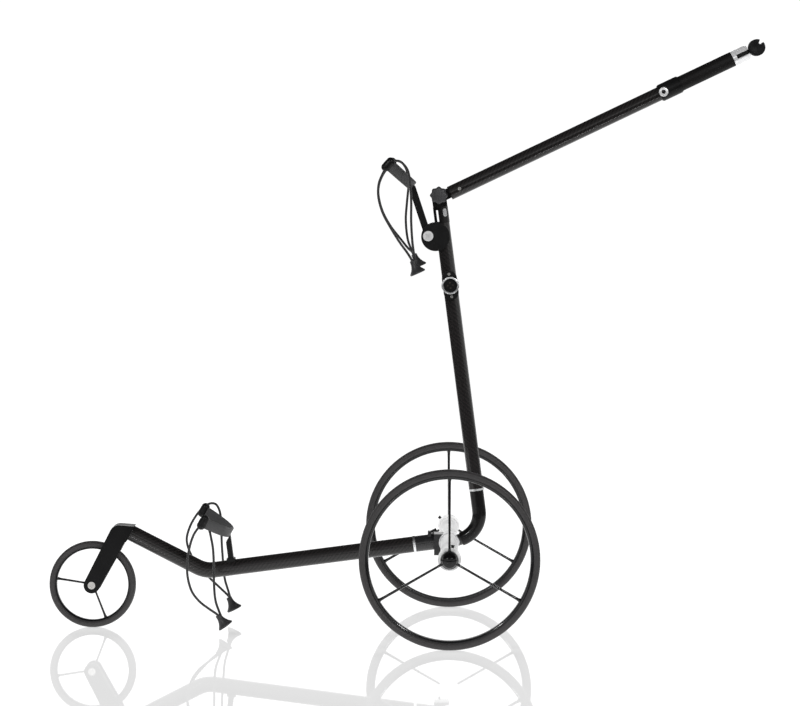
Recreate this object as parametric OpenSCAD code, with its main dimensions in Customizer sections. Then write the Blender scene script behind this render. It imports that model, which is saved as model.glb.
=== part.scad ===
// Three-wheel folding golf trolley with carbon tubes, a motor axle and two bag cradles.
// Side view: +X points to the rear, where the handle is, +Z is up and the trolley is
// symmetric about Y = 0. A place in the side view is written [x, z].

/* [Wheels] */
// Outside diameter of a rear wheel
rear_wheel_d = 300; // [280:5:320]
// Outside diameter of the front wheel
front_wheel_d = 150; // [140:2:156]
// Distance between the middle planes of the rear wheels
track = 560; // [500:10:640]
// Distance from the rear axle forward to the front axle
wheelbase = 618; // [608:1:626]
// Width of every tyre
tyre_w = 21; // [18:1:24]
// Height of a rear tyre's section
tyre_h = 11; // [8:0.5:14]
// Thickness of a spoke seen from the side
spoke_t = 5; // [3:0.5:8]

/* [Frame] */
// Diameter of the front tube
front_tube_d = 27.5; // [26:0.5:30]
// Diameter of the upright tube
upright_d = 25; // [24:0.5:26]
// Diameter of the axle tube
axle_tube_d = 30; // [28:1:32]
// Slope of the front tube's long rear part, in degrees
lower_slope = 7.4; // [6:0.1:9]
// Rise of the front tube's short front part, in degrees
front_slope = 27.2; // [24:0.2:30]
// Length of the long rear part, from the axle to the bend
lower_run = 426; // [416:1:432]
// Length of the short front part, from the bend to the fork
front_run = 144.5; // [138:0.5:150]
// Backward lean of the upright from vertical, in degrees
upright_lean = 7.3; // [5:0.1:10]
// Length of the upright from its elbow to the handle's pivot
upright_run = 587; // [540:1:640]

/* [Handle] */
// Diameter of the handle tube
handle_d = 24; // [22:0.5:25]
// Diameter of the grip
grip_d = 26; // [25:0.5:28]
// Rise of the handle above horizontal, in degrees
handle_slope = 25.4; // [0:0.2:50]
// Distance from the pivot to the middle of the speed knob
handle_run = 601; // [560:1:640]
// Radius of the speed knob
speed_knob_r = 14.5; // [13:0.5:15]

/* [Bag cradles] */
// Distance between the two tips of a cradle
cradle_w = 200; // [180:5:220]
// Depth of a cradle's arc
cradle_depth = 50; // [40:1:60]
// Width of a cradle's band
band_w = 18; // [14:1:22]
// Diameter of the elastic cords
cord_d = 4.2; // [3.6:0.1:5]

/* [Hidden] */
$fn = 64;

run_gap = 0.05;   // radial clearance of every running fit
fit_gap = 0.04;   // radial clearance between pieces that are fixed together
eps = 0.5;        // overshoot of a cut
weld = 0.02;      // step in radius where a straight run enters a bend's end, so that they join cleanly

function dir(a) = [cos(a), sin(a)];

// Side-view places
axle = [76, rear_wheel_d / 2];
front_axle = [axle.x - wheelbase, front_wheel_d / 2];
lower_a = 180 + lower_slope;
front_a = 180 - front_slope;
upright_a = 90 + upright_lean;
tube_origin = axle + [0, 3];
bend_v = tube_origin + lower_run * dir(lower_a);
crown_seam = bend_v + front_run * dir(front_a);
crown = front_axle + 100 * dir(62);
elbow_v = axle + [56.4, 16.4];
elbow_leg_a = 199;
elbow_r = 46;
bend_r = 50;
pivot = elbow_v + upright_run * dir(upright_a);
handle_drop = 5;
socket_s = 431;
bracket_s = 517.3;
cradle_pivot_s = 520;
cradle_pivot_off = 27;

function on_upright_at(s, off) = elbow_v + s * dir(upright_a) + off * dir(upright_a + 90);
cradle_pivot = on_upright_at(cradle_pivot_s, cradle_pivot_off);

// Bag cradles
cradle_r = (pow(cradle_w / 2, 2) + pow(cradle_depth, 2)) / (2 * cradle_depth);
cradle_half_a = asin(cradle_w / 2 / cradle_r);
band_t = 5;
band_inset = 4;   // from a tip's corner back to the band's end inside it
band_half_a = cradle_half_a - band_inset / (cradle_r + band_t / 2) * 180 / PI;
upper_strut_l = 91;
upper_strut_a = 108.3;
upper_cradle_a = 138;
lower_cradle_a = 150;
lower_cradle_turn = 3.5;   // of the lower cradle about its strut
upper_base = cradle_pivot + (upper_strut_l + 2.5) * dir(upper_strut_a);
lower_base = [-305, 168];

// ---------------------------------------------------------------- placing

// Puts local X along angle a of the side view, at place p
module side(p, a = 0) translate([p.x, 0, p.y]) rotate([0, -a, 0]) children();

// Puts local Z up the upright, at distance s from the elbow and off to the front
module on_upright(s, off = 0)
    side(on_upright_at(s, off), upright_a - 90) children();

// Puts local X along the handle, with its origin on the pivot
module on_handle() side(pivot, handle_slope) children();

// Puts local X along the handle's tube axis
module on_handle_axis(s = 0) on_handle() translate([s, 0, -handle_drop]) children();

// Makes both the near and the far copy of a piece drawn on the near side
module both() {
    children();
    mirror([0, 1, 0]) children();
}

// Cylinder along Y from y0 to y1
module ycyl(r, y0, y1) translate([0, y1, 0]) rotate([90, 0, 0]) cylinder(h = y1 - y0, r = r);

// Cylinder along X from x0 to x1
module xcyl(r, x0, x1) translate([x0, 0, 0]) rotate([0, 90, 0]) cylinder(h = x1 - x0, r = r);

// Hollow cylinder along X from x0 to x1
module xpipe(r_out, r_in, x0, x1) difference() {
    xcyl(r_out, x0, x1);
    xcyl(r_in, x0 - eps, x1 + eps);
}

// Ring along Y from y0 to y1
module yring(r_out, r_in, y0, y1) difference() {
    ycyl(r_out, y0, y1);
    ycyl(r_in, y0 - eps, y1 + eps);
}

// Ring outline for a tube that follows a bend
module ring2d(r_out, r_in) difference() {
    circle(r = r_out);
    circle(r = r_in);
}

// Sweeps a 2D outline round the bend at corner v, between legs at angles a and b,
// over the share t0 to t1 of the bend, counted from leg b
module arc_sweep(v, a, b, r, t0 = 0, t1 = 1) {
    half = (b - a) / 2;
    c = v + r / sin(half) * dir((a + b) / 2);
    span = 180 - (b - a);
    translate([c.x, 0, c.y])
        rotate([90, 0, 0])
            rotate([0, 0, b + 90 + t0 * span])
                rotate_extrude(angle = (t1 - t0) * span, $fn = 96)
                    translate([r, 0])
                        children();
}
function arc_tangent(a, b, r) = r / tan((b - a) / 2);

// Extrudes a 2D outline, drawn as [along X, along Z], from y0 to y1
module slab(y0, y1) translate([0, y1, 0]) rotate([90, 0, 0])
    linear_extrude(height = y1 - y0) children();

module box3(x0, x1, y0, y1, z0, z1) translate([x0, y0, z0]) cube([x1 - x0, y1 - y0, z1 - z0]);

// ---------------------------------------------------------------- rear frame

module axle_tube() color("gainsboro") side(axle) difference() {
    ycyl(axle_tube_d / 2, -tube_half, tube_half);
    ycyl(axle_tube_d / 2 - 1.5, -tube_half - eps, tube_half + eps);
    translate([-axle.x, 0, -axle.y]) side(elbow_v, elbow_leg_a) xcyl(3.2, elbow_t, elbow_t + 20);
}
tube_half = track / 2 - 18;

module drive_motors() color("dimgray") side(axle) both() {
    ycyl(13.2, -150, -62);
    ycyl(6, -160, -150);
}

module gearboxes() color("silver") side(axle) both() difference() {
    ycyl(13.3, -226, -160.2);
    ycyl(6 + run_gap, -226 - eps, -206);
}

module shaft_bearings() color("silver") side(axle) both() difference() {
    union() {
        ycyl(13.4, -tube_half, 18 - tube_half);
        ycyl(15, -tube_half - 1.4, -tube_half);
    }
    ycyl(6 + run_gap, -tube_half - 2, 19 - tube_half);
}

clamp_r = 17.3;
module axle_clamp() color("silver") difference() {
    union() {
        side(axle) ycyl(clamp_r, -10, 10);
        side(elbow_v, elbow_leg_a) xcyl(9.9 - weld, elbow_t - eps, elbow_t + 12);
        arc_sweep(elbow_v, upright_a, elbow_leg_a, elbow_r, 0, 0.3) circle(r = 9.9);
    }
    side(axle) ycyl(axle_tube_d / 2 + fit_gap, -11, 11);
    side(elbow_v, elbow_leg_a) xcyl(3.2, elbow_t - eps, elbow_t + 25);
    arc_sweep(elbow_v, upright_a, elbow_leg_a, elbow_r, 0, 0.301) circle(r = 3.2 - weld);
}

elbow_d = 24;
elbow_t = arc_tangent(upright_a, elbow_leg_a, elbow_r);
ring_s = 73;
module upright_elbow() color("#131315") {
    r_out = elbow_d / 2;
    arc_sweep(elbow_v, upright_a, elbow_leg_a, elbow_r) ring2d(r_out, r_out - 2);
    side(elbow_v, upright_a) xpipe(r_out - weld, r_out - 2 + weld, elbow_t - eps, ring_s);
}

module upper_ring() color("silver")
    side(elbow_v, upright_a) xpipe(upright_d / 2 + 0.8, elbow_d / 2 - 2, ring_s, ring_s + 3.5);

upright_top = 539;
upright_in_r = upright_d / 2 - 1.8;
module upright_tube() color("#18181a") difference() {
    side(elbow_v, upright_a) xpipe(upright_d / 2, upright_in_r, ring_s + 3.5, upright_top);
    on_upright(socket_s) ycyl(3.5, -20, 0);
}

cable_r = 2.6;
module motor_cable() color("#303030") {
    side(elbow_v, elbow_leg_a) xcyl(cable_r - weld, elbow_t - eps, elbow_t + 14);
    arc_sweep(elbow_v, upright_a, elbow_leg_a, elbow_r) circle(r = cable_r);
    side(elbow_v, upright_a) xcyl(cable_r - weld, elbow_t - eps, socket_s);
}

// Power socket on the upright's near side
socket_bore_r = 12;
socket_mouth_y = -20.5;
socket_floor_y = -14.7;
socket_face_y = -18;
socket_base_y = -13.2;
screw_pitch = 39;
module socket_outline() {
    circle(r = 15.2);
    square([26, 24], center = true);
    for (s = [-1, 1]) translate([0, 12 * s]) circle(r = 13);
}

module socket_flange() color("#141416") on_upright(socket_s) difference() {
    slab(socket_face_y, -6) socket_outline();
    translate([0, 0, -40]) cylinder(h = 80, r = upright_d / 2 + fit_gap);
    ycyl(13.5, socket_face_y - eps, socket_base_y);
    for (s = [-1, 1]) translate([0, 0, s * screw_pitch / 2]) ycyl(1.5, socket_face_y - eps, 0);
}

module socket_ring() color("silver") on_upright(socket_s) difference() {
    union() {
        ycyl(15, socket_mouth_y, socket_face_y);
        ycyl(13.4, socket_face_y, socket_floor_y);
    }
    ycyl(socket_bore_r, socket_mouth_y - eps, socket_floor_y + eps);
}

contact_pitch = 4.5;
module socket_contact_places() for (a = [0 : 90 : 270])
    rotate([0, a, 0]) translate([contact_pitch, 0, 0]) children();

module socket_insert() color("#0e0e10") on_upright(socket_s) difference() {
    ycyl(13.4, socket_floor_y, socket_base_y);
    socket_contact_places() ycyl(1.5, socket_floor_y - eps, socket_base_y + eps);
}

module socket_contacts() color("gold") on_upright(socket_s)
    socket_contact_places() ycyl(1.5 - fit_gap, socket_floor_y, socket_base_y);

module socket_screws() color("silver") on_upright(socket_s)
    for (s = [-1, 1]) translate([0, 0, s * screw_pitch / 2]) {
        ycyl(2.5, socket_face_y - 1.2, socket_face_y);
        ycyl(1.4, socket_face_y, socket_base_y + 0.4);
    }

// Bracket that carries the upper cradle in front of the upright
bracket_half = 16;
slot_half = 6.6;
module cradle_bracket() color("#17171a") difference() {
    on_upright(bracket_s, 14.7) ycyl(24.7, -bracket_half, bracket_half);
    on_upright(bracket_s) translate([0, 0, -40])
        cylinder(h = 80, r = upright_d / 2 + fit_gap);
    on_upright(upright_top - run_gap) cylinder(h = 20, r = hinge_collar_r + fit_gap);
    on_upright(bracket_s) box3(-60, -15.5, -slot_half, slot_half, -40, 40);
    side(cradle_pivot) ycyl(4 + fit_gap, -bracket_half - eps, bracket_half + eps);
}

module cradle_bolt() color("silver") side(cradle_pivot) {
    ycyl(4, -bracket_half, bracket_half);
    difference() {
        ycyl(8.8, -bracket_half - 4.5, -bracket_half);
        for (a = [45, 135]) rotate([0, a, 0]) box3(-5, 5, -30, -bracket_half - 3, -0.9, 0.9);
    }
    ycyl(7, bracket_half, bracket_half + 5);
}

// Hinge at the top of the upright
ear_half = 12;
tongue_half = 4.8;
hinge_collar_r = upright_d / 2 + 0.5;
hinge_slot_floor = -17;
module hinge_fork() color("#141416") on_upright(upright_run) difference() {
    union() {
        translate([0, 0, upright_top - upright_run - 24])
            cylinder(h = 24, r = upright_in_r - fit_gap);
        translate([0, 0, upright_top - upright_run])
            cylinder(h = upright_run - upright_top - 20, r = hinge_collar_r);
        box3(-12.5, 12.5, -ear_half, ear_half, -20, 0);
        ycyl(12.5, -ear_half, ear_half);
    }
    box3(-20, 20, -tongue_half - 0.3, tongue_half + 0.3, hinge_slot_floor, 20);
    ycyl(4 + run_gap, -ear_half - eps, ear_half + eps);
    box3(-8, -4.9, -20, 20, -45, -25);
    hinge_pad(6.1 / 2 + fit_gap, -20, -8.5);
}

// Rounded slot shape of the bright insert, on the near side of the fork
module hinge_pad(r, y0, y1) translate([6.6, 0, -30.5]) slab(y0, y1) {
    square([2 * r, 8], center = true);
    for (s = [-1, 1]) translate([0, 4 * s]) circle(r = r);
}

module hinge_insert() color("silver") on_upright(upright_run) hinge_pad(6.1 / 2, -12.6, -8.5);

module hinge_nut() color("silver") side(pivot) difference() {
    slab(ear_half, ear_half + 6) circle(r = 7.5, $fn = 6);
    ycyl(4 + run_gap, 0, 30);
}

// Lobed outline with n lobes, mean radius r and lobe height h
function lobed(n, r, h, steps = 12) =
    [for (i = [0 : n * steps - 1]) let (a = 360 * i / (n * steps)) (r + h * cos(n * a)) * dir(a)];

module star_knob() color("#3a3a3d") side(pivot) {
    slab(-25, -15) polygon(lobed(8, 14.4, 1.0));
    ycyl(9, -15, -12.4);
    ycyl(4, -12.4, ear_half + 5.5);
}

// ---------------------------------------------------------------- handle

tube_s = 18.4;
sleeve_s = 417.5;
sleeve_l = 39;
grip_s = 437;
boss_s = 424;
end_s = 556;
rivet_s = 37;
handle_in_r = handle_d / 2 - 1.8;

module handle_tongue() color("#141416") difference() {
    union() {
        on_handle() ycyl(12, -tongue_half, tongue_half);
        on_handle() box3(0, tube_s + 1, -tongue_half, tongue_half, -13, 5);
        on_handle_axis() xcyl(handle_d / 2, tube_s, tube_s + 2);
        on_handle_axis() xcyl(handle_in_r - fit_gap, tube_s + 1, tube_s + 42);
    }
    on_handle() ycyl(4 + run_gap, -tongue_half - eps, tongue_half + eps);
    on_handle_axis(rivet_s) ycyl(2 + fit_gap, -20, 20);
}

module handle_rivet() color("silver") on_handle_axis(rivet_s) {
    ycyl(2, -handle_d / 2, handle_d / 2);
    both() ycyl(3, -handle_d / 2 - 1, -handle_d / 2 + 0.4);
}

module handle_tube() color("#18181a") difference() {
    on_handle_axis() xpipe(handle_d / 2, handle_in_r, tube_s + 2, grip_s - 1);
    on_handle_axis(rivet_s) {
        ycyl(2 + fit_gap, -20, 20);
        both() ycyl(3 + fit_gap, -20, -handle_d / 2 + 0.4);
    }
}

module handle_sleeve() color("#1c1c1f") on_handle_axis(sleeve_s) difference() {
    union() {
        xcyl(14, 0, 2);
        xcyl(15, 2, sleeve_l - 2);
        xcyl(14, sleeve_l - 2, sleeve_l);
    }
    xcyl(handle_d / 2 + fit_gap, -eps, grip_s - 0.5 - sleeve_s);
    xcyl(grip_d / 2 + fit_gap, grip_s - 0.5 - sleeve_s, sleeve_l + eps);
    translate([boss_s - sleeve_s, 0, 0]) ycyl(8 + fit_gap, -20, 0);
}

accessory_r = 3.5;
boss_mouth_y = -19.5;
boss_base_y = -12.3;
module accessory_boss() color("silver") on_handle_axis(boss_s) difference() {
    union() {
        ycyl(8, boss_mouth_y + 1, boss_base_y);
        ycyl(7.2, boss_mouth_y, boss_mouth_y + 1);
    }
    ycyl(accessory_r, boss_mouth_y - eps, boss_base_y + eps);
}

module grip_tube() color("#1b1b1d") on_handle_axis()
    xpipe(grip_d / 2, grip_d / 2 - 2, grip_s, end_s);

jaw_end = handle_run - speed_knob_r - 1;
module handle_end() color("silver") on_handle_axis() difference() {
    union() {
        xcyl(grip_d / 2 - 2 - fit_gap, end_s - 26, end_s);
        xcyl(grip_d / 2 - 0.3, end_s, jaw_end - 3);
        xcyl(grip_d / 2 - 2, jaw_end - 3, jaw_end);
    }
    box3(end_s + 7, jaw_end + eps, -20, 20, -3.6, 3.6);
}

module knob_arm() color("#101012") on_handle_axis() difference() {
    union() {
        box3(end_s + 7, jaw_end - 1.5, -9, 9, -3.5, 3.5);
        box3(jaw_end - 2, handle_run, -4, 4, -3.5, 3.5);
        translate([handle_run, 0, 0]) ycyl(6, -4, 4);
    }
    translate([handle_run, 0, 0]) ycyl(3 + run_gap, -5, 5);
}

notch_a = 56;
module speed_knob() color("#202024") on_handle_axis(handle_run) {
    both() difference() {
        slab(-12, -4.4) polygon(lobed(10, speed_knob_r - 0.4, 0.4));
        rotate([0, handle_slope - notch_a, 0])
            box3(speed_knob_r - 7, 20, -20, 0, -3.5, 3.5);
    }
    ycyl(3, -5, 5);
}

// ---------------------------------------------------------------- bag cradles

// Puts local X along a cradle's opening direction, at its base, turned about the vertical
module on_cradle(base, a, turn = 0)
    translate([base.x, 0, base.y]) rotate([0, 0, turn]) rotate([0, -a, 0]) children();
module on_lower_cradle() on_cradle(lower_base, lower_cradle_a, lower_cradle_turn) children();

// The arc band of a cradle
module band() translate([cradle_r, 0, 0]) rotate([0, 0, 180 - band_half_a])
    rotate_extrude(angle = 2 * band_half_a, $fn = 128)
        polygon([
            [cradle_r, -band_w / 2 + 1], [cradle_r + 1, -band_w / 2],
            [cradle_r + band_t - 2, -band_w / 2], [cradle_r + band_t, -band_w / 2 + 2],
            [cradle_r + band_t, band_w / 2 - 2], [cradle_r + band_t - 2, band_w / 2],
            [cradle_r + 1, band_w / 2], [cradle_r, band_w / 2 - 1]
        ]);

// Round-ended cord holder on each end of a band
tip_r = 7.5;
module tips() both() translate([cradle_r, 0, 0]) rotate([0, 0, 180 + cradle_half_a])
    translate([cradle_r + band_t / 2, 0, 0]) difference() {
        translate([0, 3.5, 0]) union() {
            cylinder(h = 12, r = tip_r, center = true);
            for (s = [-1, 1]) translate([0, 0, 6 * s]) intersection() {
                sphere(r = tip_r);
                translate([0, 0, s * tip_r / 2]) cube([20, 20, tip_r], center = true);
            }
        }
        box3(-band_t / 2 - fit_gap, band_t / 2 + fit_gap, -20, -band_inset,
             -band_w / 2 - 3, band_w / 2 + 3);
    }

module upper_strut() color("#222225") side(cradle_pivot, upper_strut_a) difference() {
    union() {
        ycyl(9, -6, 6);
        box3(0, upper_strut_l - 4, -6, 6, -6, 6);
        translate([upper_strut_l - 4, 0, 0]) ycyl(6, -6, 6);
    }
    ycyl(4 + run_gap, -7, 7);
    upper_strut_seat();
}

// Curved seat for the band on the upper strut's end
module upper_strut_seat() translate([upper_strut_l + 2.5, 0, 0])
    rotate([0, upper_strut_a - upper_cradle_a, 0]) translate([cradle_r, 0, 0])
        cylinder(h = 60, r = cradle_r + band_t + fit_gap, center = true, $fn = 128);

module upper_saddle() color("#39393c") on_cradle(upper_base, upper_cradle_a) band();
module upper_tips() color("#202022") on_cradle(upper_base, upper_cradle_a) tips();
module lower_saddle() color("#39393c") on_lower_cradle() band();
module lower_tips() color("#202022") on_lower_cradle() tips();

strut_foot = tube_origin + 379 * dir(lower_a);
module lower_strut() color("#1c1c1f") difference() {
    side(strut_foot, lower_a - 90) {
        box3(10, 17, -9, 9, -7.5, 7.5);
        box3(10, 62, -7, 7, -4.7, 4.7);
    }
    side(tube_origin, lower_a) xcyl(front_tube_d / 2 + fit_gap, 300, 450);
    on_lower_cradle() translate([cradle_r, 0, 0])
        cylinder(h = 100, r = cradle_r + band_t + fit_gap, center = true, $fn = 128);
}

// ---------------------------------------------------------------- elastic cords

// Routes, as [x, y, z]: out of the pull, up in front, through the tip and back down to the pull
lower_near_route = [
    [-313, -98.5, 28], [-321, -99, 36], [-335, -101, 46], [-350, -102, 58], [-363, -104, 76],
    [-369.5, -108.5, 102], [-369.5, -111.5, 128], [-365, -113, 154], [-358, -112.5, 174], [-348.5, -110, 188],
    [-344.5, -103.5, 197], [-341.5, -93, 199.5], [-337.5, -85, 193], [-334.5, -81, 180], [-331, -80, 164],
    [-327.5, -83, 144], [-326, -88, 116], [-325.5, -91, 84], [-323, -92, 58], [-317, -93, 40],
    [-312, -93.5, 28]
];
lower_far_route = [
    [-308, 98.5, 32], [-312, 99, 41], [-319, 101, 48], [-331, 103, 59], [-349, 105, 76],
    [-369, 106, 98], [-381.5, 106, 120], [-386.5, 105.5, 141], [-381.5, 104.5, 162], [-371.5, 104, 181],
    [-360.5, 102, 195], [-351, 98.5, 203], [-341, 94.5, 206.5], [-332.5, 92, 203.5], [-326.5, 91, 190],
    [-324.5, 91, 168], [-324, 92, 140], [-322, 92, 108], [-319, 92, 75], [-312, 93, 50],
    [-307, 93.5, 32]
];
upper_near_route = [
    [17, -98.5, 630], [12, -99, 640], [4, -101, 653], [-9, -104, 671], [-25, -106, 697],
    [-37, -108, 720], [-44, -110, 745], [-44, -110, 767], [-38, -109, 784], [-30, -106, 798],
    [-22, -103, 806], [-13, -98, 808], [-4, -94, 804], [5, -92, 792], [9, -91, 772],
    [11, -91, 740], [11, -91, 705], [13, -91, 671], [16, -92, 648], [18, -93.5, 631]
];
upper_far_route = [
    [18, 98.5, 636], [13, 99, 647], [4, 101, 655], [-9, 103, 671], [-27, 106, 694],
    [-41, 108, 720], [-48, 110, 747], [-47, 110, 767], [-40, 109, 784], [-30, 106, 798],
    [-22, 103, 806], [-13, 98, 808], [-5, 94, 803], [2, 92, 790], [5, 91, 770],
    [2, 91, 735], [0, 91, 705], [3, 91, 673], [10, 92, 652], [17, 93.5, 637]
];

// Round tube of diameter d that follows the points p
module tube_along(p, d, sides = 8) {
    n = len(p);
    function unit(v) = v / norm(v);
    function heading(i) = unit(p[min(i + 1, n - 1)] - p[max(i - 1, 0)]);
    function first_normal() = unit(cross(heading(0), [0, 1, 0.3]));
    function carry(normal, i) = unit(normal - (normal * heading(i)) * heading(i));
    function normals(i) = i == 0 ? [first_normal()]
        : let (before = normals(i - 1)) concat(before, [carry(before[i - 1], i)]);
    across = normals(n - 1);
    points = [for (i = [0 : n - 1]) let (u = across[i], v = cross(heading(i), u))
        for (k = [0 : sides - 1]) let (a = 360 * k / sides) p[i] + d / 2 * (cos(a) * u + sin(a) * v)];
    walls = [for (i = [0 : n - 2]) for (k = [0 : sides - 1]) let (k2 = (k + 1) % sides)
        [i * sides + k, (i + 1) * sides + k, (i + 1) * sides + k2, i * sides + k2]];
    start_cap = [[for (k = [0 : sides - 1]) k]];
    end_cap = [[for (k = [sides - 1 : -1 : 0]) (n - 1) * sides + k]];
    polyhedron(points, concat(walls, start_cap, end_cap));
}

module cord(route) color("#1a1a1a") tube_along(route, cord_d);
module upper_near_cord() cord(upper_near_route);
module upper_far_cord() cord(upper_far_route);
module lower_near_cord() cord(lower_near_route);
module lower_far_cord() cord(lower_far_route);

// Bell-shaped pull at the foot of a cord loop, hanging from apex and leaning back
grip_l = 24;
module pull(apex, lean) translate(apex) rotate([0, -lean, 0]) rotate([180, 0, 0])
    rotate_extrude($fn = 48) polygon(concat(
        [[0, 0]],
        [for (i = [0 : 8]) let (t = i / 8) [5 + 8.6 * pow(t, 2.2), grip_l * 0.88 * t]],
        [for (a = [0 : 15 : 90]) [13.6 * cos(a), grip_l * 0.88 + 2.9 * sin(a)]]
    ));

module upper_grips() color("#2c2c2e") {
    pull([13, -96, 639], 24);
    pull([14, 96, 645], 24);
}
module lower_grips() color("#2c2c2e") {
    pull([-319, -96, 34], 36);
    pull([-312, 96, 40], 26);
}

// ---------------------------------------------------------------- front frame

ring_x = 58.5;
front_in_r = front_tube_d / 2 - 1.6;
module front_knuckle() color("#131315") difference() {
    union() {
        side(axle) slab(-20, 20) {
            circle(r = clamp_r);
            translate([-26, -22]) square([26, 36.5]);
        }
        side(tube_origin, lower_a) xcyl(front_tube_d / 2, 22, ring_x);
        side(tube_origin, lower_a) xcyl(front_in_r - fit_gap, ring_x, ring_x + 40);
        side(axle) for (s = [-1, 1]) box3(-37, -31, 7.75 * s - 1.25, 7.75 * s + 1.25, 8, 18);
    }
    side(axle) ycyl(axle_tube_d / 2 + run_gap, -30, 30);
    side(axle) ycyl(clamp_r + 0.4, -10.3, 10.3);
    side(axle) box3(0, 30, -10.3, 10.3, -30, 30);
    side(latch_pivot) ycyl(1.5 + run_gap, -12, 12);
    side(tube_origin, lower_a) xcyl(8, 30, ring_x + 50);
}

module lower_ring() color("silver")
    side(tube_origin, lower_a) xpipe(front_tube_d / 2 + 0.7, front_in_r, ring_x, ring_x + 4);

bend_t = arc_tangent(lower_slope, front_a, bend_r);
module front_tube() color("#18181a") {
    r_out = front_tube_d / 2;
    side(tube_origin, lower_a)
        xpipe(r_out - weld, front_in_r + weld, ring_x + 4, lower_run - bend_t + eps);
    arc_sweep(bend_v, lower_slope, front_a, bend_r) ring2d(r_out, front_in_r);
    side(bend_v, front_a) xpipe(r_out - weld, front_in_r + weld, bend_t - eps, front_run);
}

leg_out = 21;
leg_in = 13.5;
module fork_outline() {
    hull() {
        translate(front_axle) circle(r = 14, $fn = 32);
        translate(crown) circle(r = 16, $fn = 48);
    }
    hull() {
        translate(crown) circle(r = 16, $fn = 48);
        translate(crown_seam) rotate(front_a) translate([0, -front_tube_d / 2 - 1])
            square([0.1, front_tube_d + 2]);
    }
}

module fork() color("#101012") difference() {
    union() {
        slab(-leg_out, leg_out) fork_outline();
        side(crown_seam, front_a) xcyl(front_in_r - fit_gap, -34, 2);
    }
    side(front_axle) ycyl(front_wheel_d / 2 + 7, -leg_in, leg_in);
    side(front_axle) ycyl(4 + fit_gap, -30, 30);
}

module front_axle_bolt() color("silver") side(front_axle) {
    ycyl(4, -leg_out, leg_out);
    difference() {
        ycyl(6.5, -leg_out - 3, -leg_out);
        ycyl(3.2, -leg_out - 4, -leg_out - 1.2, $fn = 6);
    }
    ycyl(6.5, leg_out, leg_out + 4);
}

latch_pivot = axle + [-34, 15.5];
module fold_latch() color("#161618") side(latch_pivot) {
    ycyl(1.5, -9, 9);
    rotate([0, -26, 0]) box3(-2, 13, -6, 6, -1.7, 1.9);
}

// ---------------------------------------------------------------- wheels

// Tyre section from radius r0 to r1, with a rounded tread
function tyre_section(r0, r1, w) = concat(
    [[r0, -w / 2 + 2.5], [r0, w / 2 - 2.5]],
    [for (i = [0 : 8]) let (a = 90 - i * 22.5)
        [r0 + (r1 - r0) * (0.35 + 0.65 * pow(cos(a) > 0 ? cos(a) : 0, 0.6)),
         w / 2 * (abs(sin(a)) < 1 ? sign(sin(a)) * pow(abs(sin(a)), 0.6) : sign(sin(a)))]]
);

module tyre(r0, r1) rotate([90, 0, 0]) rotate_extrude($fn = 160) polygon(tyre_section(r0, r1, tyre_w));

// Blade section of a spoke: t thick in the wheel's plane and w wide
function blade(t, w) = [for (a = [0 : 30 : 330]) [t / 2 * cos(a), w / 2 * sin(a)]];

// Rim ring, three spokes from angle a0 on, and the centre ring from y0 to y1
module rim(r_out, r_in, w, hub_out, hub_in, y0, y1, a0, t) difference() {
    union() {
        yring(r_out, r_in, -w / 2, w / 2);
        ycyl(hub_out, y0, y1);
        for (i = [0 : 2]) side([0, 0], a0 + 120 * i) translate([hub_out - 1, 0, 0])
            rotate([0, 90, 0]) linear_extrude(height = r_in - hub_out + 2) polygon(blade(t, 9));
    }
    ycyl(hub_in, y0 - eps, y1 + eps);
}

rim_out = rear_wheel_d / 2 - tyre_h;
rim_in = rim_out - 5.5;
hub_r = 19.5;
core_r = 10;
cap_seat_r = 7;
shaft_r = 6;
centre_r = 15;
hub_outer_y = -11.5;   // places along the axle, from the wheel's middle plane towards the trolley
flange_y = 8.5;
hub_inner_y = 15.6;
pin_y = 12.6;
pin_near_a = 76;
pin_far_a = 139;

// Places a near wheel's piece: local -Y points outward
module at_near() side(axle) translate([0, -track / 2, 0]) children();
module at_far() mirror([0, 1, 0]) at_near() children();

module wheel_hub(pin_a) color("silver") difference() {
    union() {
        ycyl(core_r, hub_outer_y, flange_y + eps);
        ycyl(hub_r, flange_y, hub_inner_y);
        ycyl(shaft_r, 0, track / 2 - 206.5);
    }
    ycyl(cap_seat_r, hub_outer_y - eps, hub_outer_y + 2.5);
    at_pin(pin_a) xcyl(2.5 + run_gap, 8, 30);
}

// Puts local X along a release pin, outward from the wheel's axis
module at_pin(pin_a) rotate([0, -pin_a, 0]) translate([0, pin_y, 0]) children();

// Spring-loaded pin that frees the wheel from its shaft when pressed
module release_pin(pin_a) color("#151517") at_pin(pin_a) {
    xcyl(2.5, 11, 22.5);
    xcyl(3.1, 22.5, 24);
}

module hub_cap() color("#0c0c0e") {
    intersection() {
        translate([0, -10.5, 0]) sphere(r = 13.8, $fn = 64);
        ycyl(20, -30, hub_outer_y);
    }
    ycyl(cap_seat_r - fit_gap, hub_outer_y, hub_outer_y + 2.5);
}

module near_tyre() color("#2b2b2d") at_near() tyre(rim_out, rear_wheel_d / 2);
module far_tyre() color("#2b2b2d") at_far() tyre(rim_out, rear_wheel_d / 2);
module rear_rim() color("#1d1d1f")
    rim(rim_out, rim_in, 16, centre_r, core_r + fit_gap, hub_outer_y, flange_y - fit_gap, 90, spoke_t);
module near_rim() at_near() rear_rim();
module far_rim() at_far() rear_rim();
module near_hub() at_near() wheel_hub(pin_near_a);
module far_hub() at_far() wheel_hub(pin_far_a);
module near_cap() at_near() hub_cap();
module far_cap() at_far() hub_cap();
module near_pin() at_near() release_pin(pin_near_a);
module far_pin() at_far() release_pin(pin_far_a);

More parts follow.
